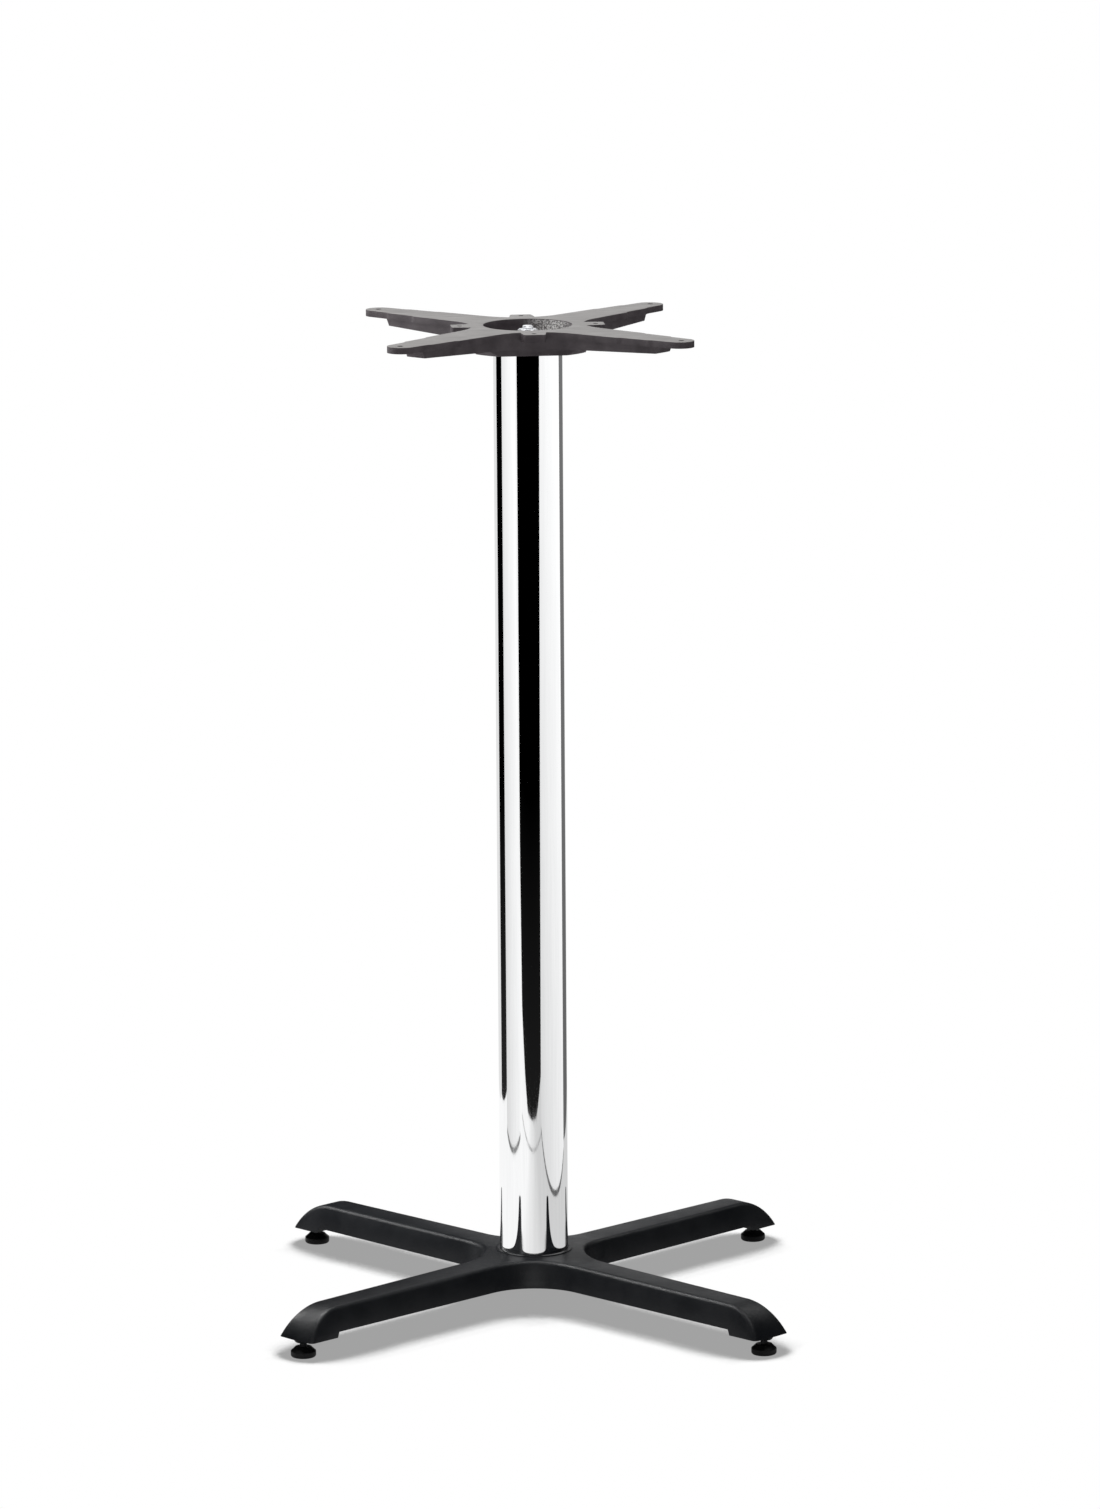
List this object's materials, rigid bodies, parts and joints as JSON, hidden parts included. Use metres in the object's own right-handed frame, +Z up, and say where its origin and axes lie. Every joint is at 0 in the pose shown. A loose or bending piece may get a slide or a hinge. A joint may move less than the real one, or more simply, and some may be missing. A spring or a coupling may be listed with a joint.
{
  "type": "pedestal table base",
  "caption": "Bar-height pedestal table base: cast X-shaped foot with levelling glides, round chromed column and a four-arm top plate with screw holes.",
  "frame": {"origin": "on the floor, on the column's axis", "axes": "+Z up along the column; -Y is the front; the legs point at 45 degrees to X and Y"},
  "size_m": [0.5536, 0.5536, 1.1],
  "materials": {
    "powder_black": "satin",
    "cast_grey": "satin",
    "chrome": "polished",
    "zinc_steel": "satin",
    "black_steel": "black plated",
    "pad_plastic": "matte"
  },
  "bodies": {
    "pedestal": {"base_casting": "powder_black", "column_tube": "chrome", "top_casting": "cast_grey", "tie_rod": "zinc_steel", "tie_rod_top_washer": "zinc_steel", "tie_rod_top_nut": "zinc_steel", "tie_rod_bottom_washer": "zinc_steel", "tie_rod_bottom_nut": "zinc_steel"},
    "glide_back_right": {"glide_stud_back_right": "black_steel", "glide_pad_back_right": "pad_plastic"},
    "glide_back_left": {"glide_stud_back_left": "black_steel", "glide_pad_back_left": "pad_plastic"},
    "glide_front_left": {"glide_stud_front_left": "black_steel", "glide_pad_front_left": "pad_plastic"},
    "glide_front_right": {"glide_stud_front_right": "black_steel", "glide_pad_front_right": "pad_plastic"}
  },
  "joints": [
    {"name": "glide_back_right_level", "type": "slide", "parent": "pedestal", "child": "glide_back_right", "axis": [0, 0, 1], "range_m": [-0.004, 0.0012]},
    {"name": "glide_back_left_level", "type": "slide", "parent": "pedestal", "child": "glide_back_left", "axis": [0, 0, 1], "range_m": [-0.004, 0.0012]},
    {"name": "glide_front_left_level", "type": "slide", "parent": "pedestal", "child": "glide_front_left", "axis": [0, 0, 1], "range_m": [-0.004, 0.0012]},
    {"name": "glide_front_right_level", "type": "slide", "parent": "pedestal", "child": "glide_front_right", "axis": [0, 0, 1], "range_m": [-0.004, 0.0012]}
  ]
}
